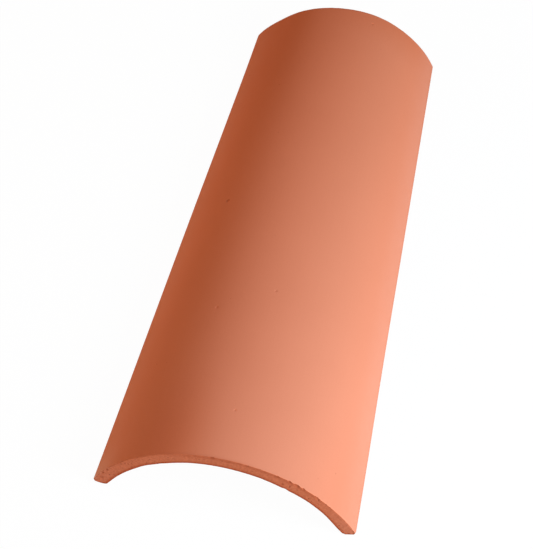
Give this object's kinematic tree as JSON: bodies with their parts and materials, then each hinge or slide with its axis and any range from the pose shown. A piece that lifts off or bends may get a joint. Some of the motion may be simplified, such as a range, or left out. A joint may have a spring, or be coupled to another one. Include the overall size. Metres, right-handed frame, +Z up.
{
  "type": "curved clay roof tile",
  "caption": "Curved barrel roof tile of fired clay: a tapering arched wall that laps over or under its neighbours and sheds rain from a pitched roof.",
  "frame": {"origin": "on the floor, under the middle of the tile", "axes": "+Y along the tile from the wide end to the narrow end, +X across the tile, +Z up through the crown"},
  "size_m": [0.1992, 0.5012, 0.0682],
  "materials": {
    "fired_clay": "matt unglazed terracotta, smooth, with faint lengthwise drag marks and small chips along the cut edges"
  },
  "bodies": {
    "root": {"tile": "fired_clay"}
  },
  "joints": []
}
